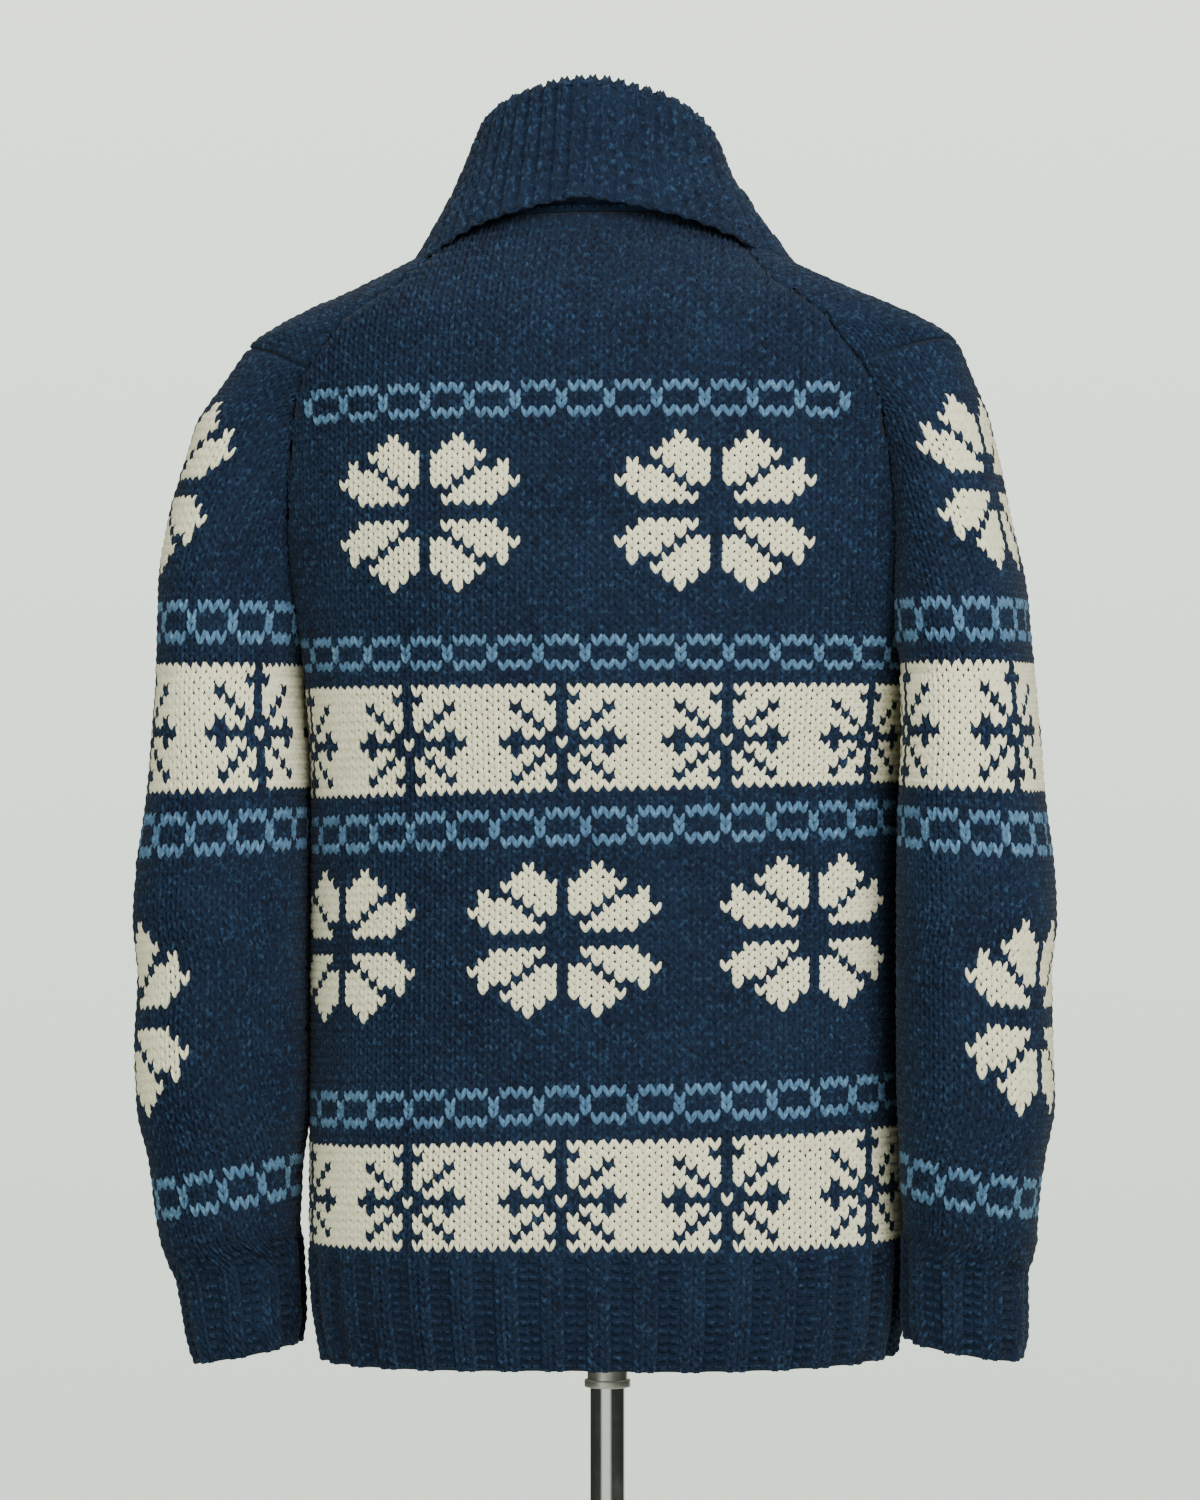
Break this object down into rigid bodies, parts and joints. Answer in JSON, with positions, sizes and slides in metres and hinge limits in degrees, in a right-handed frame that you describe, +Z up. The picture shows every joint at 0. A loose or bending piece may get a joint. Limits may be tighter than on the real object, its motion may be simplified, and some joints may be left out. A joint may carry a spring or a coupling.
{
  "type": "shawl-collar cardigan on a dress form",
  "caption": "Chunky hand-knit shawl-collar cardigan with ribbed hem, cuffs and button bands, worn by a limbless dress form on a pole and round base.",
  "frame": {"origin": "centre of the base's underside, on the pole's axis", "axes": "+Z up along the pole, -Y out of the garment's front, +X towards the wearer's left"},
  "size_m": [0.542, 0.3, 1.3674],
  "materials": {
    "navy_wool": "heathered wool",
    "navy_rib": "ribbed wool",
    "dark_horn": "polished",
    "form_cover": "plain jersey",
    "brushed_steel": "brushed",
    "chrome": "polished"
  },
  "bodies": {
    "root": {"back": "navy_wool", "front_left": "navy_wool", "front_right": "navy_wool", "shoulder_left": "navy_wool", "shoulder_right": "navy_wool", "sleeve_left": "navy_wool", "sleeve_right": "navy_wool", "collar": "navy_rib", "band_left": "navy_rib", "band_right": "navy_rib", "button_1": "dark_horn", "button_2": "dark_horn", "button_3": "dark_horn", "button_4": "dark_horn", "button_5": "dark_horn", "form": "form_cover", "clamp": "brushed_steel", "pole": "chrome", "base": "brushed_steel"}
  },
  "joints": []
}
